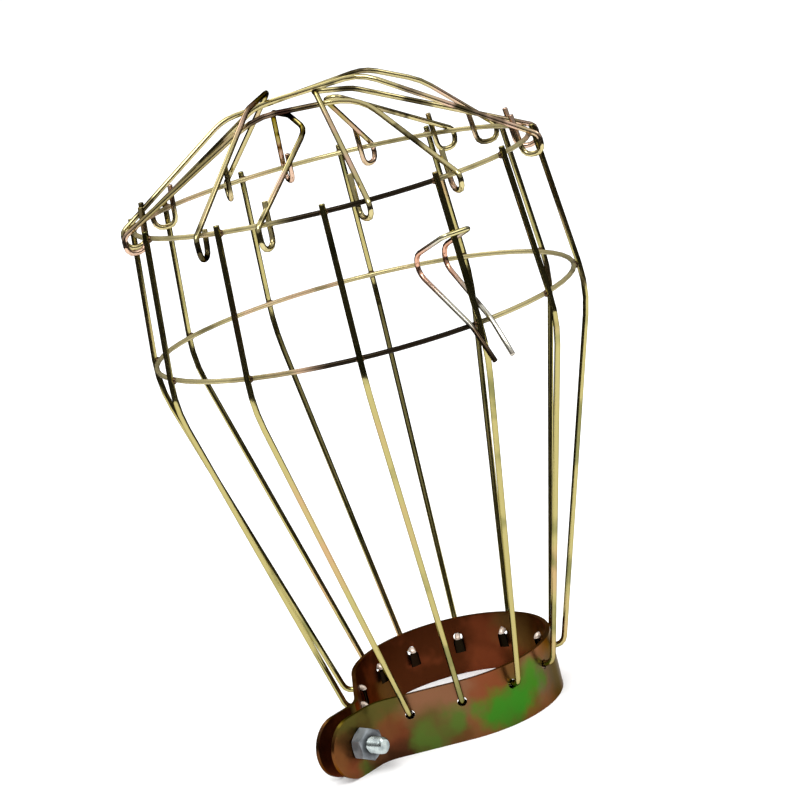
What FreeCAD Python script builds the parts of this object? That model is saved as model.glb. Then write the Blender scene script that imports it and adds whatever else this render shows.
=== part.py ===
import FreeCAD, Part
import math
import os

Vector = FreeCAD.Vector

# Bulb cage guard of bent wire. The frame has +Z along the cage, dome up, the origin on the axis of
# the clamp collar at the strap's lower edge, and the collar's two ears pointing along -X.
# Lengths are in millimetres, angles in degrees anticlockwise from +X seen from above.

# Wire sizes
rib_wire_d = 1.4
ring_wire_d = 1.2
dome_wire_d = 1.3
clip_wire_d = 1.2
wire_sides = 8
wire_chord_error = 0.08

# Clamp collar: one strap, round on three sides, drawn to a point where its two ears stand out
strap_inner_r = 23.5
strap_thickness = 1.0
strap_height = 14.5
ear_gap = 4.0
ear_slope = 45.0
ear_fold_r = 7.0
ear_bolt_reach = 38.0
ear_round_reach = 40.0

# Clamp screw and its hexagon nut
screw_d = 4.0
screw_hole_clearance = 0.2
screw_head_d = 7.6
screw_head_height = 2.8
screw_slot_width = 1.0
screw_slot_depth = 1.2
screw_tip_past_nut = 4.1
nut_across_flats = 7.0
nut_thickness = 3.2
nut_thread_clearance = 0.05

# The two hoops
lower_ring_r = 50.0
lower_ring_z = 99.2
upper_ring_r = 46.8
upper_ring_z = 131.4

# Ribs: twelve wires, spot-welded on the outside of both hoops and hooked into the strap
rib_count = 12
rib_first_angle = 190.0
rib_angle_scatter = (1.8, 1.5, 2.8, -1.8, -0.7, 2.5, 2.5, 0.6, 1.4, 2.0, -2.8, 1.4)
rib_weld_depth = 0.1
rib_top_above_hoop = 1.9
rib_bend_drop = 6.0
rib_bend_r = 32.0
rib_hook_stand_off = 2.4
rib_hook_bend_r = 2.4
rib_end_z = 9.9
rib_hole_d = 3.2
rib_hole_drop = 0.7
rib_first_hole = 7.9
rib_last_hole = 10.5
rib_hole_scatter = (0.0, 0.1, 0.5, -0.3, -1.1, -2.5, -1.0, -0.9, -0.7, -1.9, -0.2, 0.0)
rib_tip_short = 0.02

# Dome wires: each is hooked round the upper hoop at both ends and bent over the top between
hook_outside = 2.8
hook_inside = 1.9
hook_bend_r = 2.1
hook_shoulder_r = 1.8
hook_tail_lean = 1.0
# Per wire: name, first hook, bends, last hook. A hook has its angle, the sideways step and the drop of its
# loop and the rise of its tail. A bend has x and y from the axis, height above the upper hoop and radius
dome_wires = (
    (
        "front",
        (145.0, -2.0, 4.2, 5.5),
        ((-15.9, 2.5, 19.3, 18.0), (-3.5, -18.4, 18.8, 14.0)),
        (258.5, 1.0, 3.7, 5.5),
    ),
    (
        "left",
        (186.0, -2.0, 5.2, 0.8),
        ((-16.0, 4.2, 21.3, 7.0), (2.8, 15.6, 22.3, 7.0)),
        (76.0, 2.0, 3.6, 5.5),
    ),
    (
        "centre",
        (204.5, 0.7, 5.2, 4.6),
        ((-16.3, -12.7, 15.2, 8.0), (-11.0, -3.2, 18.0, 8.0), (5.3, 18.7, 16.8, 12.0)),
        (57.5, -0.5, 3.6, 3.4),
    ),
    (
        "right",
        (233.0, -1.7, 3.6, 6.2),
        ((-8.4, -10.7, 21.6, 6.0), (-3.4, -5.1, 21.4, 3.0), (4.2, -9.9, 19.8, 10.0)),
        (322.0, 2.0, 4.2, 5.5),
    ),
    (
        "rear_cross",
        (106.5, -2.0, 4.2, 5.5),
        ((-3.3, 14.4, 20.0, 14.0), (6.6, -11.1, 22.4, 12.0)),
        (302.0, 2.0, 4.2, 5.5),
    ),
    (
        "rear_top",
        (134.0, -2.0, 4.2, 5.5),
        ((-7.8, 21.9, 18.5, 12.0), (22.3, 2.6, 21.4, 12.0), (34.0, -3.4, 15.2, 20.0)),
        (348.0, 2.0, 3.6, 5.0),
    ),
    (
        "rear_right",
        (5.0, 2.0, 4.2, 5.5),
        ((8.5, 6.4, 20.0, 2.2),),
        (31.0, 2.0, 4.2, 5.5),
    ),
)

# Wire clip: a hairpin hung on one rib by its closed end, with its two legs over the lower hoop
clip_rib_index = 2
clip_gap = 0.25
clip_bar_width = 7.0
clip_bar_rise = 20.6
clip_bend_reach = 17.1
clip_bend_rise = 14.7
clip_bend_width = 7.6
clip_leg_length = 24.0
clip_leg_spread = 5.2
clip_tail_length = 9.6
clip_tail_turn = 16.0
clip_tail_spread = 4.6
clip_corner_r = 1.5
clip_bend_r = 3.5
clip_tail_r = 6.0

rib_pitch = 360.0 / rib_count
strap_mid_r = strap_inner_r + strap_thickness / 2
ear_mid_y = ear_gap / 2 + strap_thickness / 2
ear_outer_y = ear_gap / 2 + strap_thickness
up = Vector(0, 0, 1)


def radial(angle):
    a = math.radians(angle)
    return Vector(math.cos(a), math.sin(a), 0)


def tangent(angle):
    return radial(angle + 90)


def wire_path(corners, radii):
    # Straight runs from corner to corner, joined by tangent arcs of the given radii
    edges = []
    start = corners[0]
    for before, corner, after, bend_r in zip(corners, corners[1:], corners[2:], radii):
        back = (before - corner).normalize()
        ahead = (after - corner).normalize()
        half = back.getAngle(ahead) / 2
        run_in = corner + back * (bend_r / math.tan(half))
        run_out = corner + ahead * (bend_r / math.tan(half))
        crown = corner + (back + ahead).normalize() * (bend_r / math.sin(half) - bend_r)
        edges.append(Part.LineSegment(start, run_in).toShape())
        edges.append(Part.Arc(run_in, crown, run_out).toShape())
        start = run_out
    edges.append(Part.LineSegment(start, corners[-1]).toShape())
    return edges


def chord_points(edges):
    # Points along a path in which every arc is cut into as few equal chords as the chord error lets it
    points = [edges[0].firstVertex().Point]
    for edge in edges:
        chords = 1
        if isinstance(edge.Curve, Part.Circle):
            bend_r = edge.Curve.Radius
            chords = math.ceil(edge.Length / bend_r / (2 * math.acos(1 - wire_chord_error / bend_r)))
        points += edge.discretize(chords + 1)[1:]
    return points


def drawn_wire(points, diameter):
    # Wire along the points, mitred where it turns. Its section is an even polygon of the round wire's area
    closed = points[0].isEqual(points[-1], wire_chord_error)
    ways = [(b - a).normalize() for a, b in zip(points, points[1:])]
    mitres = [(a + b).normalize() for a, b in zip(ways, ways[1:])]
    joint = (ways[-1] + ways[0]).normalize()
    planes = [joint] + mitres + [joint] if closed else [ways[0]] + mitres + [ways[-1]]
    turn = 2 * math.pi / wire_sides
    corner_r = diameter / 2 * math.sqrt(2 * math.pi / (wire_sides * math.sin(turn)))
    across = ways[0].cross(up).normalize()
    other = ways[0].cross(across)
    spots = [
        across * (corner_r * math.cos(turn * (k + 0.5))) + other * (corner_r * math.sin(turn * (k + 0.5)))
        for k in range(wire_sides)
    ]
    sections = []
    corners = [points[0] + spot for spot in spots]
    for point, plane, way in zip(points, planes, ways[:1] + ways):
        corners = [c + way * ((point - c).dot(plane) / way.dot(plane)) for c in corners]
        sections.append(corners)
    faces = []
    for near, far in zip(sections, sections[1:]):
        for k in range(wire_sides):
            after = (k + 1) % wire_sides
            faces.append(Part.Face(Part.makePolygon([near[k], near[after], far[after], far[k], near[k]])))
    if not closed:
        for end in (sections[0], sections[-1]):
            faces.append(Part.Face(Part.makePolygon(end + end[:1])))
    shell = Part.makeShell(faces)
    shell.sewShape()
    solid = Part.makeSolid(shell)
    if solid.Volume < 0:
        solid.reverse()
    return solid


def bent_wire(corners, radii, diameter):
    return drawn_wire(chord_points(wire_path(corners, radii)), diameter)


def hoop(radius, height):
    circle = Part.makeCircle(radius, up * height)
    return drawn_wire(chord_points([circle]), ring_wire_d)


def strap_line(offset):
    # Plan edges of the strap at an offset from its middle: ear, fold, straight run, round part and back
    slope = math.radians(ear_slope)
    leave = radial(90 + ear_slope) * (strap_mid_r + offset)
    way = Vector(-math.cos(slope), -math.sin(slope), 0)
    corner = leave + way * ((leave.y - ear_mid_y - offset) / math.sin(slope))
    ear_end = Vector(-ear_round_reach - strap_height / 2, corner.y, 0)
    side = Part.Wire(wire_path([ear_end, corner, leave], [ear_fold_r - offset]))
    far_side = side.mirror(Vector(0, 0, 0), Vector(0, 1, 0))
    far_leave = Vector(leave.x, -leave.y, 0)
    bow = Part.Arc(leave, Vector(strap_mid_r + offset, 0, 0), far_leave).toShape()
    return side.Edges + [bow] + far_side.Edges


def strap_run():
    # Length of the straight run from an ear's corner to the round part
    slope = math.radians(ear_slope)
    return (strap_mid_r * math.cos(slope) - ear_mid_y) / math.sin(slope)


def strap_bow():
    # Length of the round part
    return strap_mid_r * math.radians(2 * (90 + ear_slope))


def strap_station(length):
    # Middle of the strap and its outward way at a length along it from the corner of the -Y ear
    along = min(max(length - strap_run(), 0), strap_bow())
    angle = -90 - ear_slope + math.degrees(along / strap_mid_r)
    return radial(angle) * strap_mid_r + tangent(angle) * (length - strap_run() - along), radial(angle)


def rib_angle(number):
    return rib_first_angle + rib_pitch * number + rib_angle_scatter[number]


def rib_station(number):
    length = 2 * strap_run() + strap_bow()
    pitch = (length - rib_first_hole - rib_last_hole) / (rib_count - 1)
    return strap_station(rib_first_hole + pitch * number + rib_hole_scatter[number])


def rib_axis(number, height):
    # Middle of a rib where it passes a height between the hoops
    outside = (ring_wire_d + rib_wire_d) / 2 - rib_weld_depth
    share = (height - lower_ring_z) / (upper_ring_z - lower_ring_z)
    radius = lower_ring_r + (upper_ring_r - lower_ring_r) * share + outside
    return radial(rib_angle(number)) * radius + up * height


def make_strap():
    outer = strap_line(strap_thickness / 2)
    inner = strap_line(-strap_thickness / 2)
    x_end = -ear_round_reach - strap_height / 2
    ends = []
    for side in (1, -1):
        inner_corner = Vector(x_end, side * ear_gap / 2, 0)
        outer_corner = Vector(x_end, side * ear_outer_y, 0)
        ends.append(Part.LineSegment(inner_corner, outer_corner).toShape())
    outline = Part.Wire(Part.sortEdges(outer + inner + ends)[0])
    band = Part.Face(outline).extrude(up * strap_height)
    outer_r = strap_inner_r + strap_thickness
    across = Vector(0, 1, 0)
    start = Vector(-ear_round_reach, -outer_r, 0)
    side_view = Part.makeBox(ear_round_reach + outer_r, 2 * outer_r, strap_height, start)
    round_end = Part.makeCylinder(strap_height / 2, 2 * outer_r, start + up * (strap_height / 2), across)
    band = band.common(side_view.fuse(round_end))
    bolt_start = Vector(-ear_bolt_reach, -outer_r, strap_height / 2)
    band = band.cut(Part.makeCylinder(screw_d / 2 + screw_hole_clearance, 2 * outer_r, bolt_start, across))
    for number in range(rib_count):
        middle, outward = rib_station(number)
        middle += up * (rib_end_z - rib_hole_drop)
        through = outward * strap_thickness
        band = band.cut(drawn_wire([middle + through, middle - through], rib_hole_d))
    return band.Solids[0]


def lathe(profile):
    # Solid turned about the screw's axis from (distance along -Y, radius) points
    centre = Vector(-ear_bolt_reach, 0, strap_height / 2)
    points = [centre + Vector(0, -along, radius) for along, radius in profile]
    face = Part.Face(Part.makePolygon(points + points[:1]))
    return face.revolve(centre, Vector(0, 1, 0), 360)


def make_screw():
    head_end = -ear_outer_y - screw_head_height
    tip = ear_outer_y + nut_thickness + screw_tip_past_nut
    head_r = screw_head_d / 2
    shank_r = screw_d / 2
    screw = lathe((
        (head_end, 0),
        (head_end, head_r),
        (-ear_outer_y, head_r),
        (-ear_outer_y, shank_r),
        (tip, shank_r),
        (tip, 0),
    ))
    slot_corner = Vector(
        -ear_bolt_reach - head_r, -head_end - screw_slot_depth, strap_height / 2 - screw_slot_width / 2
    )
    return screw.cut(Part.makeBox(screw_head_d, screw_slot_depth, screw_slot_width, slot_corner)).Solids[0]


def make_nut():
    flat_r = nut_across_flats / 2
    corner_r = flat_r / math.cos(math.radians(30))
    centre = Vector(-ear_bolt_reach, -ear_outer_y, strap_height / 2)
    corners = []
    for number in range(6):
        turn = math.radians(60 * number)
        corners.append(centre + Vector(corner_r * math.sin(turn), 0, corner_r * math.cos(turn)))
    hexagon = Part.Face(Part.makePolygon(corners + corners[:1])).extrude(Vector(0, -nut_thickness, 0))
    bore_r = screw_d / 2 + nut_thread_clearance
    return hexagon.cut(Part.makeCylinder(bore_r, nut_thickness, centre, Vector(0, -1, 0))).Solids[0]


def make_rib(number):
    above = rib_axis(number, upper_ring_z + rib_top_above_hoop)
    bend = rib_axis(number, lower_ring_z - rib_bend_drop)
    middle, outward = rib_station(number)
    hole = middle + up * rib_end_z
    hook = hole + outward * (strap_thickness / 2 + rib_hook_stand_off)
    tip = hole - outward * (strap_thickness / 2 - rib_tip_short)
    return bent_wire([above, bend, hook, tip], [rib_bend_r, rib_hook_bend_r], rib_wire_d)


def hook_corners(angle, side_step, drop, tail_rise):
    # Corners of a dome wire's hook, from the shoulder outside the upper hoop to the end of its tail inside
    ring_point = radial(angle) * upper_ring_r + up * upper_ring_z
    out = radial(angle)
    along = tangent(angle) * side_step
    return [
        ring_point + out * hook_outside,
        ring_point + out * hook_outside - up * drop,
        ring_point - out * hook_inside - up * drop + along,
        ring_point - out * (hook_inside + hook_tail_lean) + up * tail_rise + along,
    ]


def make_dome_wire(first_hook, bends, last_hook):
    hook_radii = [hook_shoulder_r, hook_bend_r, hook_bend_r]
    corners = hook_corners(*first_hook)[::-1]
    corners += [Vector(x, y, upper_ring_z + rise) for x, y, rise, bend_r in bends]
    corners += hook_corners(*last_hook)
    radii = hook_radii[::-1] + [bend_r for x, y, rise, bend_r in bends] + hook_radii
    return bent_wire(corners, radii, dome_wire_d)


def make_clip():
    angle = rib_angle(clip_rib_index)
    out = radial(angle)
    across = tangent(angle)
    seat = (rib_wire_d + clip_wire_d) / 2 + clip_gap
    bar = rib_axis(clip_rib_index, lower_ring_z + clip_bar_rise) + out * seat
    bend_r = lower_ring_r - clip_bend_reach
    bend = out * bend_r + up * (lower_ring_z + clip_bend_rise)
    hoop_seat = (ring_wire_d + clip_wire_d) / 2 + clip_gap
    fall = math.atan2(clip_bend_rise, clip_bend_reach)
    fall -= math.asin(hoop_seat / math.hypot(clip_bend_rise, clip_bend_reach))
    knee = bend + (out * math.cos(fall) - up * math.sin(fall)) * clip_leg_length
    fall += math.radians(clip_tail_turn)
    end = knee + (out * math.cos(fall) - up * math.sin(fall)) * clip_tail_length
    half = [
        (bar, clip_bar_width, clip_corner_r),
        (bend, clip_bend_width, clip_bend_r),
        (knee, clip_leg_spread, clip_tail_r),
    ]
    corners = [middle + across * (width / 2) for middle, width, bend_r in half]
    corners.append(end + across * (clip_tail_spread / 2))
    mirrored = [middle - across * (width / 2) for middle, width, bend_r in half]
    mirrored.append(end - across * (clip_tail_spread / 2))
    radii = [bend_r for middle, width, bend_r in half]
    return bent_wire(mirrored[::-1] + corners, radii[::-1] + radii, clip_wire_d)


def export(name, shape):
    shape.exportStep("parts/%s.step" % name)


os.makedirs("parts", exist_ok=True)
export("collar_strap", make_strap())
export("clamp_screw", make_screw())
export("clamp_nut", make_nut())
export("lower_ring", hoop(lower_ring_r, lower_ring_z))
export("upper_ring", hoop(upper_ring_r, upper_ring_z))
for number in range(rib_count):
    export("rib_%02d" % (number + 1), make_rib(number))
for name, *run in dome_wires:
    export("dome_wire_" + name, make_dome_wire(*run))
export("wire_clip", make_clip())
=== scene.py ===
import math
import bmesh
import bpy
from mathutils import Matrix, Vector


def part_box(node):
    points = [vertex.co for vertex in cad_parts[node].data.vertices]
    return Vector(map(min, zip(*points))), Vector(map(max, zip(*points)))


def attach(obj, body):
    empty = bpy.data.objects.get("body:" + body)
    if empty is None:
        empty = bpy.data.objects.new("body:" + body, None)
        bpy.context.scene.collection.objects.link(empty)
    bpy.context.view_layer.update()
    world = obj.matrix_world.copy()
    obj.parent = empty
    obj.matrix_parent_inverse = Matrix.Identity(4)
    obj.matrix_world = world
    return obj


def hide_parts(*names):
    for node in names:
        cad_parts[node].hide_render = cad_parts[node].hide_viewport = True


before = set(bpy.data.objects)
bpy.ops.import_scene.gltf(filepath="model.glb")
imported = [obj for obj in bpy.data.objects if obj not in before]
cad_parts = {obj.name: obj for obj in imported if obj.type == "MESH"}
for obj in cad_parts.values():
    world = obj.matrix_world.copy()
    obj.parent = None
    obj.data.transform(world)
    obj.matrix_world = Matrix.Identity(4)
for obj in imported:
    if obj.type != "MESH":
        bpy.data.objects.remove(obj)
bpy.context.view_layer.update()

print("frame loaded:", len(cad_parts), "nodes")

wireNodes = [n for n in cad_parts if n.startswith(("rib_", "dome_wire_")) or n.endswith("_ring")]
ribNodes = sorted(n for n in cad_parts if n.startswith("rib_"))


# helpers for meshes

meshCare = {
    "merge": 2e-6,            # corners of a solid's loose triangles nearer than this are one
    "seam": 1e-6,             # the same for the seams of a new shape
    "cut": 1e-7,              # a cut goes through a corner nearer than this
    "flat": 0.5,              # degrees between faces that count as one flat face
    "smooth": 50,             # degrees between faces that shade as one
}


def addObject(name, data):
    thing = bpy.data.objects.new(name, data)
    bpy.context.scene.collection.objects.link(thing)
    return thing


def addMeshObject(bm, name, material):
    mesh = bpy.data.meshes.new(name)
    bm.to_mesh(mesh)
    bm.free()
    mesh.materials.append(material)
    return addObject(name, mesh)


def finishPiece(bm, name, material, body, smoothAngle=meshCare["smooth"]):
    # a bmesh becomes an object at the origin that moves with its body
    for face in bm.faces:
        face.smooth = True
    for edge in bm.edges:
        if edge.is_manifold:
            edge.smooth = edge.calc_face_angle() < math.radians(smoothAngle)
    piece = addMeshObject(bm, name, material)
    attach(piece, body)
    return piece


def looseCopy(nodeName):
    # a solid's mesh as one closed skin of triangles
    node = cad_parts[nodeName]
    bm = bmesh.new()
    bm.from_mesh(node.data)
    bm.transform(node.matrix_world)
    bmesh.ops.remove_doubles(bm, verts=bm.verts, dist=meshCare["merge"])
    return bm


def mergedCopy(nodeName):
    # the same with its flat faces joined up again
    bm = looseCopy(nodeName)
    flat = math.radians(meshCare["flat"])
    bmesh.ops.dissolve_limit(bm, angle_limit=flat, verts=bm.verts, edges=bm.edges)
    return bm


def boxMiddle(nodeName):
    # middle and half size of a solid's box
    low, high = (Vector(corner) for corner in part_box(nodeName))
    return (low + high) / 2, (high - low) / 2


def faceAngle(edge):
    # degrees between an edge's two faces
    return math.degrees(edge.calc_face_angle(0))


def onlyKind(geom, kind):
    return [g for g in geom if isinstance(g, kind)]


def easeEdges(bm, edges, offset, steps):
    return bmesh.ops.bevel(
        bm, geom=edges, offset=offset, offset_type="OFFSET", segments=steps, profile=0.5,
        affect="EDGES", clamp_overlap=True, material=-1,
    )


def cutAcross(bm, point, normal, clearOuter=False):
    # a flat cut through everything, and the edges that lie in it
    cut = bmesh.ops.bisect_plane(
        bm, geom=bm.verts[:] + bm.edges[:] + bm.faces[:], dist=meshCare["cut"],
        plane_co=point, plane_no=normal, clear_outer=clearOuter,
    )
    return onlyKind(cut["geom_cut"], bmesh.types.BMEdge)


def closeSeams(bm):
    bmesh.ops.remove_doubles(bm, verts=bm.verts, dist=meshCare["seam"])
    bmesh.ops.recalc_face_normals(bm, faces=bm.faces)


# helpers for materials

paint = {
    "cloudDetail": 3.0,
    "cloudMiddle": 0.5,       # a cloud's values lie about this
    "waverDetail": 4.0,
    "spotCore": 0.25,         # share of a spot's radius that has its full tint
    "shadeFrom": (0.40, 0.65),   # cloud values where a plain metal's shade begins and is full
}


def newMaterial(name, metallic):
    material = bpy.data.materials.new(name)
    material.use_nodes = True
    shader = material.node_tree.nodes["Principled BSDF"]
    shader.inputs["Metallic"].default_value = metallic
    return material, shader


def makePatchGroup():
    # cloudy mask between 0 and 1 on object coordinates
    group = bpy.data.node_groups.new("passivationPatches", "ShaderNodeTree")
    for name in ("Scale", "Low", "High"):
        group.interface.new_socket(name, in_out="INPUT", socket_type="NodeSocketFloat")
    group.interface.new_socket("Mask", in_out="OUTPUT", socket_type="NodeSocketFloat")
    nodes, links = group.nodes, group.links
    entry = nodes.new("NodeGroupInput")
    leave = nodes.new("NodeGroupOutput")
    place = nodes.new("ShaderNodeTexCoord")
    noise = nodes.new("ShaderNodeTexNoise")
    noise.inputs["Detail"].default_value = paint["cloudDetail"]
    ramp = nodes.new("ShaderNodeMapRange")
    ramp.interpolation_type = "SMOOTHSTEP"
    links.new(place.outputs["Object"], noise.inputs["Vector"])
    links.new(entry.outputs["Scale"], noise.inputs["Scale"])
    links.new(noise.outputs["Fac"], ramp.inputs["Value"])
    links.new(entry.outputs["Low"], ramp.inputs["From Min"])
    links.new(entry.outputs["High"], ramp.inputs["From Max"])
    links.new(ramp.outputs["Result"], leave.inputs["Mask"])
    return group


patchGroup = makePatchGroup()


def addPatches(tree, scale, span):
    node = tree.nodes.new("ShaderNodeGroup")
    node.node_tree = patchGroup
    node.inputs["Scale"].default_value = scale
    node.inputs["Low"].default_value, node.inputs["High"].default_value = span
    return node.outputs["Mask"]


def addRange(tree, value, source, target):
    node = tree.nodes.new("ShaderNodeMapRange")
    node.interpolation_type = "SMOOTHSTEP"
    node.inputs["From Min"].default_value, node.inputs["From Max"].default_value = source
    node.inputs["To Min"].default_value, node.inputs["To Max"].default_value = target
    tree.links.new(value, node.inputs["Value"])
    return node.outputs["Result"]


def addMix(tree, mask, first, second):
    # first and second are colours or colour sockets
    mix = tree.nodes.new("ShaderNodeMix")
    mix.data_type = "RGBA"
    tree.links.new(mask, mix.inputs["Factor"])
    for socket, value in ((mix.inputs["A"], first), (mix.inputs["B"], second)):
        if isinstance(value, tuple):
            socket.default_value = (*value, 1.0)
        else:
            tree.links.new(value, socket)
    return mix.outputs["Result"]


def addVectorMath(tree, operation, first, second=None):
    # first is a socket, second a plain vector
    node = tree.nodes.new("ShaderNodeVectorMath")
    node.operation = operation
    tree.links.new(first, node.inputs[0])
    if second:
        node.inputs[1].default_value = second
    return node


def addPlace(tree):
    return tree.nodes.new("ShaderNodeTexCoord").outputs["Object"]


def addWaver(tree, scale, reach):
    # object coordinates pushed about by a cloud, so that round masks get ragged outlines
    place = addPlace(tree)
    noise = tree.nodes.new("ShaderNodeTexNoise")
    noise.inputs["Scale"].default_value = scale
    noise.inputs["Detail"].default_value = paint["waverDetail"]
    tree.links.new(place, noise.inputs["Vector"])
    middle = addVectorMath(tree, "SUBTRACT", noise.outputs["Color"], [paint["cloudMiddle"]] * 3)
    push = addVectorMath(tree, "MULTIPLY_ADD", middle.outputs[0], [reach] * 3)
    tree.links.new(place, push.inputs[2])
    return push.outputs[0]


def addSpots(tree, place, colour, look, spots):
    # soft round tints, each laid over the ones before it
    for tint, centre, radius, strength in spots:
        reach = addVectorMath(tree, "DISTANCE", place, centre).outputs["Value"]
        mask = addRange(tree, reach, (radius * paint["spotCore"], radius), (strength, 0.0))
        colour = addMix(tree, mask, colour, look[tint])
    return colour


def addSide(tree, way, span):
    # mask on one side of the object's axis, by the cosine to a way round it
    turn = math.radians(way)
    level = addVectorMath(tree, "MULTIPLY", addPlace(tree), (1, 1, 0))
    unit = addVectorMath(tree, "NORMALIZE", level.outputs[0])
    share = addVectorMath(tree, "DOT_PRODUCT", unit.outputs[0], (math.cos(turn), math.sin(turn), 0))
    return addRange(tree, share.outputs["Value"], span, (0.0, 1.0))


def makePlainMetal(name, look):
    # one metal with cloudy shade, for the small parts
    material, shader = newMaterial(name, look["metallic"])
    tree = material.node_tree
    clouds = addPatches(tree, look["patchScale"], paint["shadeFrom"])
    colour = addMix(tree, clouds, look["plain"], look["shade"])
    if "spots" in look:
        colour = addSpots(tree, addPlace(tree), colour, look, look["spots"])
    tree.links.new(colour, shader.inputs["Base Color"])
    shader.inputs["Roughness"].default_value = look["rough"]
    return material


# wires: the corners of the solids' eight sides are rounded off, and the cut ends eased

ribWire = {
    "thickness": 0.0014,
    "plain": (0.40, 0.345, 0.135),    # yellow passivation
    "bloom": (0.46, 0.310, 0.150),    # coppery bloom
    "bloomFrom": (0.55, 0.70),        # cloud values where the bloom begins and is full
    "dull": (0.20, 0.19, 0.07),       # olive stretches
    "dullFrom": (0.53, 0.68),
    "aslant": (0.04, 0.032, 0.010),   # tint of the metal seen aslant
    "patchScale": 45.0,               # patches per metre
    "rough": (0.06, 0.15),
    "metallic": 1.0,
}
hoopWire = {
    "thickness": 0.0012,
    "plain": (0.42, 0.36, 0.18),
    "bloom": (0.50, 0.34, 0.22),
    "bloomFrom": (0.54, 0.68),
    "dull": (0.20, 0.17, 0.08),
    "dullFrom": (0.54, 0.70),
    "dark": (0.014, 0.010, 0.006),    # painted dark reflection on one side
    "darkWay": 232.0,                 # degrees round the hoop
    "darkFrom": (0.88, 0.95),         # cosines where the painted dark reflection begins and is full
    "aslant": (0.03, 0.024, 0.010),
    "patchScale": 38.0,
    "rough": (0.09, 0.20),
    "metallic": 0.55,
}
domeWire = {
    "thickness": 0.0013,
    "plain": (0.50, 0.43, 0.21),
    "bloom": (0.60, 0.41, 0.30),
    "bloomFrom": (0.49, 0.60),
    "dull": (0.060, 0.048, 0.022),
    "dullFrom": (0.54, 0.66),
    "olive": (0.26, 0.22, 0.085),
    # near black, for a painted dark reflection
    "burnt": (0.032, 0.016, 0.011),
    "aslant": (0.028, 0.022, 0.012),
    "patchScale": 48.0,
    "rough": (0.08, 0.18),
    "metallic": 1.0,
    # tint, middle, radius, strength
    "spots": [
        ("olive", (-0.0270, 0.0150, 0.1440), 0.0180, 0.9),
        ("olive", (-0.0355, 0.0230, 0.1380), 0.0110, 0.9),
        ("plain", (-0.0310, 0.0000, 0.1450), 0.0130, 0.9),
        ("plain", (-0.0400, -0.0030, 0.1400), 0.0100, 0.9),
        # near-black spots on the wires at the dome's top: painted dark reflection
        ("burnt", (-0.0160, 0.0020, 0.1500), 0.0050, 0.9),
        ("burnt", (-0.0125, -0.0035, 0.1501), 0.0055, 1.0),
        ("burnt", (-0.0095, -0.0085, 0.1500), 0.0050, 0.9),
    ],
}
clipWire = {
    "thickness": 0.0012,
    "plain": (0.60, 0.58, 0.50),
    "bloom": (0.62, 0.34, 0.23),
    "bloomFrom": (0.62, 0.74),
    "dull": (0.045, 0.030, 0.018),
    "dullFrom": (0.62, 0.74),
    "khaki": (0.52, 0.46, 0.20),
    "aslant": (0.03, 0.025, 0.012),
    "patchScale": 70.0,
    "rough": (0.09, 0.20),
    "metallic": 1.0,
    # tint, middle, radius, strength
    "spots": [
        ("khaki", (-0.0150, -0.0484, 0.1198), 0.0060, 0.9),
        ("bloom", (-0.0105, -0.0345, 0.1145), 0.0150, 1.0),
        ("dull", (-0.0193, -0.0546, 0.0918), 0.0052, 1.0),
        ("dull", (-0.0187, -0.0525, 0.0945), 0.0052, 1.0),
        ("dull", (-0.0182, -0.0503, 0.0975), 0.0050, 1.0),
    ],
}
wireFinish = {
    "sides": 8,
    "lengthwise": (36, 54),   # degrees between two sides
    "diagonal": 1.35,         # shortest diagonal of a flat side, in widths of a side
    "corner": 0.34,           # rounding of a corner, in widths of a side
    "cornerSteps": 2,
    "endEdge": 70,            # degrees
    "endEase": 0.00016,
    "endSteps": 2,
    "ribStart": 0.016,        # height of a rib's first cross cut
    "ribStep": 0.003,         # cross cuts keep the straight runs' shading straight
    "ribEnd": 0.0005,         # last cross cut below a rib's top
    "dullFiner": 1.7,         # dull patches to one patch of bloom
    "roughFiner": 4,          # patches of roughness to one patch of bloom
    "roughFrom": (0.3, 0.7),
}


def makeWireMaterial(name, look):
    material, shader = newMaterial(name, look["metallic"])
    tree = material.node_tree
    scale = look["patchScale"]
    colour = addMix(tree, addPatches(tree, scale, look["bloomFrom"]), look["plain"], look["bloom"])
    dullPatches = addPatches(tree, scale * wireFinish["dullFiner"], look["dullFrom"])
    colour = addMix(tree, dullPatches, colour, look["dull"])
    if "spots" in look:
        colour = addSpots(tree, addPlace(tree), colour, look, look["spots"])
    # one side of the hoops darkened: a painted dark reflection
    if "dark" in look:
        colour = addMix(tree, addSide(tree, look["darkWay"], look["darkFrom"]), colour, look["dark"])
    tree.links.new(colour, shader.inputs["Base Color"])
    roughPatches = addPatches(tree, scale * wireFinish["roughFiner"], wireFinish["roughFrom"])
    rough = addRange(tree, roughPatches, (0.0, 1.0), look["rough"])
    tree.links.new(rough, shader.inputs["Roughness"])
    shader.inputs["Specular Tint"].default_value = (*look["aslant"], 1.0)
    return material


wireKinds = {"rib": ribWire, "hoop": hoopWire, "dome": domeWire, "clip": clipWire}
wireMaterials = {kind: makeWireMaterial(kind + "Wire", look) for kind, look in wireKinds.items()}


def wireKind(nodeName):
    kinds = {"rib": "rib", "dome": "dome", "wire": "clip"}
    return kinds.get(nodeName.split("_")[0], "hoop")


def pieceName(nodeName):
    words = nodeName.split("_")
    return words[0] + "".join(word.capitalize() for word in words[1:]) + "Round"


def cutRib(bm, nodeName):
    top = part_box(nodeName)[1][2] - wireFinish["ribEnd"]
    start, step = wireFinish["ribStart"], wireFinish["ribStep"]
    levels = [start + number * step for number in range(int((top - start) / step))]
    for level in levels + [top]:
        cutAcross(bm, (0, 0, level), (0, 0, 1))


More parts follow.
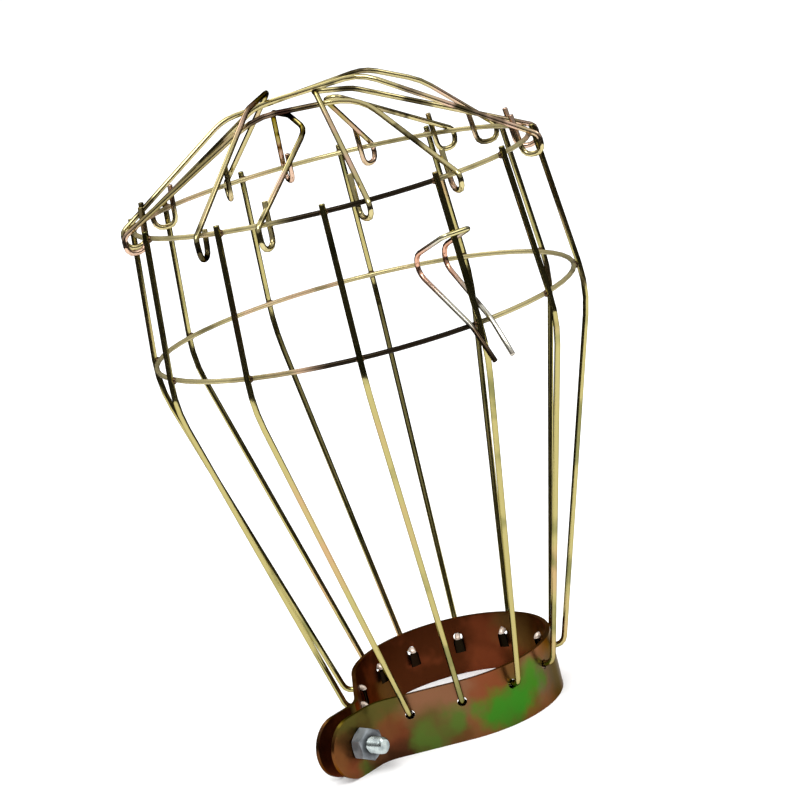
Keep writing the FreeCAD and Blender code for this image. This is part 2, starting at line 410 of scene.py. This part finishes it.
def roundWire(nodeName, body):
    bm = looseCopy(nodeName)
    kind = wireKind(nodeName)
    side = wireKinds[kind]["thickness"] * math.tan(math.pi / wireFinish["sides"])
    shortest = wireFinish["diagonal"] * side
    flat = [e for e in bm.edges if faceAngle(e) < meshCare["flat"]]
    bmesh.ops.dissolve_edges(bm, edges=[e for e in flat if e.calc_length() > shortest])
    low, high = wireFinish["lengthwise"]
    lengthwise = [e for e in bm.edges if low < faceAngle(e) < high]
    easeEdges(bm, lengthwise, wireFinish["corner"] * side, wireFinish["cornerSteps"])
    if kind == "rib":
        cutRib(bm, nodeName)
    ends = [e for e in bm.edges if faceAngle(e) > wireFinish["endEdge"]]
    if ends:
        easeEdges(bm, ends, wireFinish["endEase"], wireFinish["endSteps"])
    piece = finishPiece(bm, pieceName(nodeName), wireMaterials[kind], body)
    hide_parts(nodeName)


for nodeName in wireNodes:
    roundWire(nodeName, "cage")
roundWire("wire_clip", "clip")
print("wires rounded:", len(wireNodes) + 1)


# rib ends: inside the collar each rib is bent down and hammered flat; the bend is painted bright as a
# highlight and the tail near black as painted shade

ribEnd = {
    "bendRadius": 0.0009,
    "wireRadius": 0.00072,
    "overlap": 0.0004,        # start of the bend inside the rib
    "segments": 16,
    "steps": 6,
    # length, width and thickness of each stretch of the tail, the last two as shares of the stretch
    # above; the tail is hammered flat and drawn wide enough to stand in for its shadow on the wall too,
    # partly a painted shadow
    "tail": [(0.0005, 1.75, 0.62), (0.0030, 1.05, 0.9)],
    # the bend's pale, half metallic look is a painted highlight
    "bendLook": {
        "plain": (0.80, 0.68, 0.58),
        "shade": (0.56, 0.44, 0.35),
        "patchScale": 500.0,
        "rough": 0.25,
        "metallic": 0.35,
    },
    # the ribs' wire made near black: a painted shade, which also stands for the tail's shadow
    "tailLook": dict(
        ribWire,
        plain=(0.009, 0.006, 0.003),
        bloom=(0.012, 0.006, 0.003),
        dull=(0.006, 0.004, 0.002),
    ),
}


def ribEndFace(nodeName, pick):
    # middle of a rib's lower end face, with min, or of its upper one, with max, and the way it points
    bm = mergedCopy(nodeName)
    ends = [f for f in bm.faces if len(f.verts) >= wireFinish["sides"]]
    end = pick(ends, key=lambda f: f.calc_center_median().z)
    middle, way = end.calc_center_median().copy(), end.normal.copy()
    bm.free()
    return middle, way


def bendRibEnd(bm, middle, way):
    down = Vector((0, 0, -1))
    across = way.cross(down).normalized()
    turn = Matrix((across, down, way)).transposed().to_4x4()
    made = bmesh.ops.create_circle(
        bm, cap_ends=True, segments=ribEnd["segments"], radius=ribEnd["wireRadius"],
        matrix=Matrix.Translation(middle - way * ribEnd["overlap"]) @ turn,
    )
    face = made["verts"][0].link_faces[0]
    spun = bmesh.ops.spin(
        bm, geom=[face] + list(face.edges) + list(face.verts),
        cent=middle + down * ribEnd["bendRadius"], axis=across,
        angle=math.pi / 2, steps=ribEnd["steps"], use_duplicate=False,
    )
    tail = onlyKind(spun["geom_last"], bmesh.types.BMFace)
    for length, width, thickness in ribEnd["tail"]:
        drawn = bmesh.ops.extrude_face_region(bm, geom=tail)
        moved = onlyKind(drawn["geom"], bmesh.types.BMVert)
        tail = onlyKind(drawn["geom"], bmesh.types.BMFace)
        bmesh.ops.translate(bm, vec=down * length, verts=moved)
        space = (Matrix.Translation(tail[0].calc_center_median()) @ turn).inverted()
        bmesh.ops.scale(bm, vec=(width, 1, thickness), space=space, verts=moved)
        # the tail's faces take the near-black painted shade
        for face in {f for v in moved for f in v.link_faces}:
            face.material_index = 1


def makeRibEnds():
    bm = bmesh.new()
    for nodeName in ribNodes:
        middle, way = ribEndFace(nodeName, min)
        bendRibEnd(bm, middle, way)
    closeSeams(bm)
    bendHighlightMaterial = makePlainMetal("ribBendZinc", ribEnd["bendLook"])
    piece = finishPiece(bm, "ribEnds", bendHighlightMaterial, "cage")
    piece.data.materials.append(makeWireMaterial("ribEndWire", ribEnd["tailLook"]))


makeRibEnds()
print("rib ends bent:", len(ribNodes))


# spot welds where the ribs cross the hoops

weld = {
    "width": 0.0011,
    "height": 0.0009,
    "depth": 0.0007,
    "sink": 0.0001,           # middle of a weld inside the hoop's outer side
    "rings": 8,
    "plain": (0.10, 0.06, 0.03),
    "shade": (0.05, 0.03, 0.015),
    "patchScale": 300.0,
    "rough": 0.35,
    "metallic": 1.0,
}


def makeWelds():
    bm = bmesh.new()
    shape = Matrix.Diagonal((weld["depth"], weld["width"], weld["height"], 1))
    for ringName in ("lower_ring", "upper_ring"):
        centre, half = boxMiddle(ringName)
        for nodeName in ribNodes:
            top = ribEndFace(nodeName, max)[0]
            angle = math.atan2(top.y - centre.y, top.x - centre.x)
            spot = centre + Vector((math.cos(angle), math.sin(angle), 0)) * (half.x - weld["sink"])
            bmesh.ops.create_uvsphere(
                bm, u_segments=weld["rings"] * 2, v_segments=weld["rings"], radius=1.0,
                matrix=Matrix.Translation(spot) @ Matrix.Rotation(angle, 4, "Z") @ shape,
            )
    finishPiece(bm, "spotWelds", makePlainMetal("weldTint", weld), "cage")


makeWelds()
print("welds made")


# collar strap: its holes are drawn in round the ribs with lower rims painted bright as highlights, and
# its edges eased

strap = {
    "easing": 0.00020,
    "steps": 2,
    "sharp": 60,              # degrees
    "smooth": 40,             # degrees between faces that shade as one
    "holeRadius": 0.0019,
    "holeReach": 0.003,       # how far from the rib's end a hole's corners are looked for
    "holeDrop": 0.0007,       # hole's middle below the rib's
    "holeTop": 0.0015,        # the point the hole is drawn in towards, above its middle
    "holeShare": 0.72,
    "holeCorner": (35, 55),   # degrees between two sides of a hole
    "holeRound": 0.00030,
    "holeSteps": 2,
    "rimEase": 0.00034,
    "rimSteps": 3,
    "earReach": 0.007,        # the ears' inner end, from the screw's outer side
    "inward": 0.3,            # cosine past which a face looks inwards
    "brown": (0.112, 0.046, 0.015),
    "copper": (0.180, 0.080, 0.040),
    "dark": (0.034, 0.012, 0.005),
    "green": (0.032, 0.160, 0.012),
    "softGreen": (0.066, 0.112, 0.018),
    "orange": (0.165, 0.062, 0.020),
    "red": (0.175, 0.042, 0.016),
    "olive": (0.068, 0.060, 0.013),
    "grey": (0.095, 0.082, 0.062),
    "maroon": (0.078, 0.020, 0.006),
    "insideRed": (0.195, 0.046, 0.016),
    "insideOlive": (0.150, 0.080, 0.022),
    "aslant": (0.45, 0.40, 0.32),
    "patchScale": 90.0,
    "patchFrom": (0.42, 0.62),
    "insidePatchFrom": (0.5, 0.7),
    "waver": 0.009,           # how far the patches' outlines wander
    "waverScale": 190.0,
    "rough": 0.28,
    "insideRough": 0.45,
    "metallic": 1.0,
    # tint, middle, radius, strength
    "outside": [
        ("olive", (-0.0311, -0.0036, 0.0130), 0.0110, 0.95),
        ("olive", (-0.0412, -0.0030, 0.0140), 0.0080, 0.95),
        ("orange", (-0.0452, -0.0030, 0.0070), 0.0085, 0.95),
        ("red", (-0.0408, -0.0030, 0.0030), 0.0060, 0.7),
        ("softGreen", (-0.0385, -0.0030, 0.0000), 0.0050, 0.8),
        ("dark", (-0.0288, -0.0058, 0.0010), 0.0105, 0.9),
        ("red", (-0.0290, -0.0056, 0.0075), 0.0065, 0.5),
        ("copper", (-0.0225, -0.0121, 0.0115), 0.0100, 0.9),
        ("olive", (-0.0230, -0.0116, 0.0045), 0.0085, 0.8),
        ("softGreen", (-0.0240, -0.0106, 0.0020), 0.0060, 0.9),
        ("softGreen", (-0.0188, -0.0158, 0.0058), 0.0055, 0.95),
        ("olive", (-0.0080, -0.0232, 0.0060), 0.0125, 0.75),
        ("red", (-0.0115, -0.0216, 0.0115), 0.0080, 0.8),
        ("orange", (-0.0137, -0.0203, 0.0000), 0.0070, 0.8),
        ("green", (-0.0112, -0.0218, 0.0055), 0.0062, 0.95),
        ("green", (-0.0055, -0.0239, 0.0045), 0.0072, 1.0),
        ("green", (0.0002, -0.0245, 0.0085), 0.0062, 0.85),
        ("red", (-0.0030, -0.0243, 0.0000), 0.0050, 0.6),
        ("orange", (0.0040, -0.0242, 0.0000), 0.0060, 0.7),
        ("grey", (0.0105, -0.0221, 0.0070), 0.0110, 0.95),
        ("dark", (-0.0420, 0.0080, 0.0080), 0.0130, 1.0),
        # a painted shadow of the nut on the strap round it
        ("dark", (-0.0385, -0.0030, 0.0075), 0.0066, 0.9),
    ],
    "inside": [
        ("insideRed", (0.0222, 0.0077, 0.0115), 0.0075, 0.9),
        ("insideOlive", (0.0235, -0.0010, 0.0110), 0.0095, 0.9),
        ("insideRed", (0.0209, 0.0107, 0.0020), 0.0080, 0.9),
        ("insideOlive", (0.0200, -0.0123, 0.0060), 0.0100, 0.8),
        ("insideOlive", (-0.0020, 0.0234, 0.0030), 0.0060, 0.6),
        ("red", (-0.0425, 0.0020, 0.0010), 0.0085, 1.0),
    ],
    # the holes' bright lower rims: a painted highlight
    "rimLook": {
        "plain": (0.62, 0.52, 0.42),
        "shade": (0.30, 0.20, 0.13),
        "patchScale": 500.0,
        "rough": 0.22,
        "metallic": 1.0,
    },
}


def makeStrapMaterial():
    material, shader = newMaterial("tintedStrap", strap["metallic"])
    tree = material.node_tree
    place = addWaver(tree, strap["waverScale"], strap["waver"])
    clouds = addPatches(tree, strap["patchScale"], strap["patchFrom"])
    outside = addMix(tree, clouds, strap["brown"], strap["copper"])
    outside = addSpots(tree, place, outside, strap, strap["outside"])
    clouds = addPatches(tree, strap["patchScale"], strap["insidePatchFrom"])
    inside = addMix(tree, clouds, strap["maroon"], strap["insideRed"])
    inside = addSpots(tree, place, inside, strap, strap["inside"])
    inner = tree.nodes.new("ShaderNodeAttribute")
    inner.attribute_name = "innerFace"
    tree.links.new(addMix(tree, inner.outputs["Fac"], outside, inside), shader.inputs["Base Color"])
    rough = addRange(tree, inner.outputs["Fac"], (0.0, 1.0), (strap["rough"], strap["insideRough"]))
    tree.links.new(rough, shader.inputs["Roughness"])
    shader.inputs["Specular Tint"].default_value = (*strap["aslant"], 1.0)
    return material


def drawInHole(bm, nodeName):
    # a hole is closed up a little round its wire, its corners rounded and its rim eased
    tip, way = ribEndFace(nodeName, min)
    middle = tip - Vector((0, 0, strap["holeDrop"]))
    pivot = middle + Vector((0, 0, strap["holeTop"]))
    across = way.cross(Vector((0, 0, 1))).normalized()
    turn = Matrix((across, way.cross(across), way)).transposed().to_4x4()

    def isNear(vert):
        offset = vert.co - middle
        along = offset.dot(way)
        aside = (offset - way * along).length
        return aside < strap["holeRadius"] and abs(along) < strap["holeReach"]

    def holeEdges():
        return [e for e in bm.edges if isNear(e.verts[0]) and isNear(e.verts[1])]

    share = strap["holeShare"]
    space = (Matrix.Translation(pivot) @ turn).inverted()
    bmesh.ops.scale(bm, vec=(share, share, 1), space=space, verts=[v for v in bm.verts if isNear(v)])
    low, high = strap["holeCorner"]
    corners = [e for e in holeEdges() if low < faceAngle(e) < high]
    easeEdges(bm, corners, strap["holeRound"], strap["holeSteps"])
    rims = [e for e in holeEdges() if faceAngle(e) > strap["sharp"]]
    eased = easeEdges(bm, rims, strap["rimEase"], strap["rimSteps"])
    # the lower half of each eased rim takes the painted highlight
    for face in eased["faces"]:
        if face.calc_center_median().z < tip.z:
            face.material_index = 1


def markInside(bm):
    # faces that look towards the collar's axis, or on the ears towards the gap between them
    inner = bm.faces.layers.float["innerFace"]
    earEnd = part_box("clamp_screw")[0][0] + strap["earReach"]
    for face in bm.faces:
        centre = face.calc_center_median()
        flat = Vector((centre.x, centre.y, 0))
        inward = face.normal.dot(flat) < -strap["inward"] * flat.length
        if centre.x < earEnd:
            inward = face.normal.y * centre.y < 0 and abs(face.normal.y) > strap["inward"]
        face[inner] = 1.0 if inward else 0.0


def makeStrap():
    bm = mergedCopy("collar_strap")
    for nodeName in ribNodes:
        drawInHole(bm, nodeName)
    bm.faces.layers.float.new("innerFace")
    easeEdges(bm, [e for e in bm.edges if faceAngle(e) > strap["sharp"]], strap["easing"], strap["steps"])
    markInside(bm)
    piece = finishPiece(bm, "collarStrap", makeStrapMaterial(), "cage", strap["smooth"])
    piece.data.materials.append(makePlainMetal("holeRim", strap["rimLook"]))
    shading = piece.modifiers.new("flatsFirst", "WEIGHTED_NORMAL")
    shading.keep_sharp = True
    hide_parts("collar_strap")


makeStrap()
print("collar done")


# clamp nut with chamfered ends

nut = {
    "planes": 24,             # flat cuts that make up one chamfer
    "tilt": 30,               # degrees
    "flatShare": 0.93,        # the chamfer's inner edge, as a share of the half width across flats
    "smooth": 25,             # degrees between faces that shade as one
    "plain": (0.40, 0.44, 0.47),
    "shade": (0.20, 0.22, 0.24),
    "dirt": (0.012, 0.012, 0.013),
    "patchScale": 350.0,
    "rough": 0.38,
    "metallic": 0.6,
    # the one spot darkens the nut's face round the screw: a painted shade
    # tint, middle, radius, strength
    "spots": [("dirt", (-0.0380, -0.0064, 0.0072), 0.0052, 1.0)],
}


def makeNut():
    bm = mergedCopy("clamp_nut")
    centre, half = boxMiddle("clamp_nut")
    tilt = math.radians(nut["tilt"])
    for end in (-1, 1):
        axis = Vector((0, end, 0))
        for number in range(nut["planes"]):
            turn = 2 * math.pi * (number + 0.5) / nut["planes"]
            out = Vector((math.cos(turn), 0, math.sin(turn)))
            point = centre + axis * half.y + out * half.x * nut["flatShare"]
            rim = cutAcross(bm, point, axis * math.cos(tilt) + out * math.sin(tilt), clearOuter=True)
            if rim:
                bmesh.ops.holes_fill(bm, edges=rim, sides=0)
    bmesh.ops.recalc_face_normals(bm, faces=bm.faces)
    material = makePlainMetal("nutZinc", nut)
    piece = finishPiece(bm, "nutFinished", material, "cage", nut["smooth"])
    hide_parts("clamp_nut")


makeNut()
print("nut done")


# clamp screw: the shank is cut off inside the nut and goes on as rings of thread

screw = {
    "radius": 0.0020,
    "rootRadius": 0.00168,
    "pitch": 0.0007,
    "threadInset": 0.0008,    # start of the rings inside the nut
    "tipChamfer": 0.0004,
    "tipShare": 0.95,         # of the radius, where the chamfer begins
    "endShare": 0.85,         # of the root's radius, at the end
    "spinSteps": 32,
    "sharp": 60,              # degrees
    "headReach": 0.0001,      # how near the head's outer end an edge is eased
    "headEasing": 0.0005,
    "headSteps": 3,
    "smooth": 25,             # degrees between faces that shade as one
    "plain": (0.50, 0.56, 0.55),
    "shade": (0.24, 0.28, 0.29),
    "patchScale": 350.0,
    "rough": 0.26,
    "metallic": 1.0,
}


def threadOutline(start, end):
    # place along the screw and radius of each corner, from the nut to the tip
    along = start
    outline = [(start, 0.0)]
    while along - screw["pitch"] > end + screw["tipChamfer"]:
        outline.append((along, screw["rootRadius"]))
        outline.append((along - screw["pitch"] / 2, screw["radius"]))
        along -= screw["pitch"]
    outline.append((along, screw["rootRadius"]))
    outline.append((end + screw["tipChamfer"], screw["radius"] * screw["tipShare"]))
    outline.append((end, screw["rootRadius"] * screw["endShare"]))
    outline.append((end, 0.0))
    return outline


def makeScrew():
    bm = mergedCopy("clamp_screw")
    low, high = (Vector(corner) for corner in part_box("clamp_screw"))
    axisX, axisZ = (low.x + high.x) / 2, (low.z + high.z) / 2
    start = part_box("clamp_nut")[0][1] + screw["threadInset"]
    rim = cutAcross(bm, (axisX, start, axisZ), (0, -1, 0), clearOuter=True)
    bmesh.ops.holes_fill(bm, edges=rim, sides=0)
    headEnd = high.y - screw["headReach"]
    rims = [e for e in bm.edges if faceAngle(e) > screw["sharp"]]
    rims = [e for e in rims if max(v.co.y for v in e.verts) > headEnd]
    easeEdges(bm, rims, screw["headEasing"], screw["headSteps"])
    points = [bm.verts.new((axisX, y, axisZ + radius)) for y, radius in threadOutline(start, low.y)]
    lines = [bm.edges.new(pair) for pair in zip(points, points[1:])]
    bmesh.ops.spin(
        bm, geom=points + lines, cent=(axisX, 0, axisZ), axis=(0, 1, 0), angle=2 * math.pi,
        steps=screw["spinSteps"], use_merge=True,
    )
    closeSeams(bm)
    material = makePlainMetal("screwZinc", screw)
    piece = finishPiece(bm, "screwFinished", material, "cage", screw["smooth"])
    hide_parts("clamp_screw")


makeScrew()
print("screw done")


# studio: white floor and room, soft lamps, a dark surround that only reflections see, and the camera

studio = {
    "floorSize": 30.0,
    "floorColour": (0.86, 0.86, 0.86),
    "floorRough": 0.9,
    "floorGlow": 0.12,
    "ambient": 1.05,
    "surroundStart": (0.36, 0.004),   # radius and height
    # outer radius, height and colour of each band, from the floor up
    "surroundBands": [(0.50, 0.205, (0.010, 0.009, 0.008)), (1.60, 1.35, (0.20, 0.20, 0.195))],
    "surroundSegments": 64,
    "surroundRough": 1.0,
    "lampAim": (0, 0, 0.08),
    # name, place, size, watts
    "lamps": [
        ("keyLamp", (-0.9, -0.5, 1.5), 0.8, 16.0),
        ("fillLamp", (0.6, -1.3, 1.1), 0.9, 9.0),
        ("backLamp", (0.5, 1.2, 1.4), 0.9, 9.0),
    ],
}
cameraSet = {
    "place": (-0.4226, -0.4269, 0.2105),
    "ahead": (0.6903, 0.6903, -0.2168),
    "up": (0.3222, -0.0250, 0.9463),
    "lens": 117.8,
    "sensor": 36.0,
    "clipStart": 0.01,
}


def makeCard(name, colour, rough):
    # a plain matt surface of the studio
    material, shader = newMaterial(name, 0.0)
    shader.inputs["Base Color"].default_value = (*colour, 1.0)
    shader.inputs["Roughness"].default_value = rough
    return material, shader


def makeFloor():
    bm = bmesh.new()
    bmesh.ops.create_grid(bm, x_segments=1, y_segments=1, size=studio["floorSize"] / 2)
    material, shader = makeCard("paleFloor", studio["floorColour"], studio["floorRough"])
    shader.inputs["Emission Color"].default_value = (1, 1, 1, 1)
    shader.inputs["Emission Strength"].default_value = studio["floorGlow"]
    floor = addMeshObject(bm, "studioFloor", material)


def makeSurround():
    inner, low = studio["surroundStart"]
    for number, (outer, high, colour) in enumerate(studio["surroundBands"]):
        bm = bmesh.new()
        segments = studio["surroundSegments"]
        ring = bmesh.ops.create_circle(bm, cap_ends=False, segments=segments, radius=inner)
        edges = list({e for v in ring["verts"] for e in v.link_edges})
        drawn = bmesh.ops.extrude_edge_only(bm, edges=edges)
        moved = onlyKind(drawn["geom"], bmesh.types.BMVert)
        bmesh.ops.scale(bm, vec=(outer / inner, outer / inner, 1), verts=moved)
        bmesh.ops.translate(bm, vec=(0, 0, high - low), verts=moved)
        bmesh.ops.translate(bm, vec=(0, 0, low), verts=bm.verts)
        material = makeCard(f"surroundCard{number}", colour, studio["surroundRough"])[0]
        band = addMeshObject(bm, f"surroundBand{number}", material)
        band.visible_camera = False
        band.visible_diffuse = False
        band.visible_shadow = False
        band.visible_transmission = False
        inner, low = outer, high


def addWhiteByRay(tree, ordinary, outlet):
    # camera, glossy and transmission rays meet plain white, all others the ordinary shader
    path = tree.nodes.new("ShaderNodeLightPath")
    first = tree.nodes.new("ShaderNodeMath")
    first.operation = "MAXIMUM"
    second = tree.nodes.new("ShaderNodeMath")
    second.operation = "MAXIMUM"
    tree.links.new(path.outputs["Is Camera Ray"], first.inputs[0])
    tree.links.new(path.outputs["Is Glossy Ray"], first.inputs[1])
    tree.links.new(first.outputs[0], second.inputs[0])
    tree.links.new(path.outputs["Is Transmission Ray"], second.inputs[1])
    mix = tree.nodes.new("ShaderNodeMixShader")
    tree.links.new(second.outputs[0], mix.inputs[0])
    tree.links.new(ordinary, mix.inputs[1])
    tree.links.new(mix.outputs[0], outlet)
    return mix.inputs[2]


def makeWorld():
    world = bpy.data.worlds.new("whiteRoom")
    bpy.context.scene.world = world
    world.use_nodes = True
    tree = world.node_tree
    ordinary = tree.nodes["Background"]
    white = tree.nodes.new("ShaderNodeBackground")
    for shader, strength in ((ordinary, studio["ambient"]), (white, 1.0)):
        shader.inputs["Color"].default_value = (1, 1, 1, 1)
        shader.inputs["Strength"].default_value = strength
    outlet = tree.nodes["World Output"].inputs["Surface"]
    tree.links.new(white.outputs[0], addWhiteByRay(tree, ordinary.outputs[0], outlet))


def makeLamps():
    aim = Vector(studio["lampAim"])
    for name, place, size, watts in studio["lamps"]:
        lamp = bpy.data.lights.new(name, "AREA")
        lamp.size = size
        lamp.energy = watts
        holder = addObject(name, lamp)
        holder.location = place
        holder.rotation_euler = (aim - Vector(place)).to_track_quat("-Z", "Y").to_euler()


def makeCamera():
    ahead = Vector(cameraSet["ahead"]).normalized()
    up = Vector(cameraSet["up"])
    up = (up - ahead * up.dot(ahead)).normalized()
    turn = Matrix((ahead.cross(up), up, -ahead)).transposed()
    data = bpy.data.cameras.new("photoCamera")
    data.lens = cameraSet["lens"]
    data.sensor_width = cameraSet["sensor"]
    data.clip_start = cameraSet["clipStart"]
    camera = addObject("photoCamera", data)
    camera.matrix_world = Matrix.Translation(cameraSet["place"]) @ turn.to_4x4()
    bpy.context.scene.camera = camera


makeFloor()
makeSurround()
makeWorld()
makeLamps()
makeCamera()
bpy.context.scene.view_settings.view_transform = "Standard"
print("studio ready")
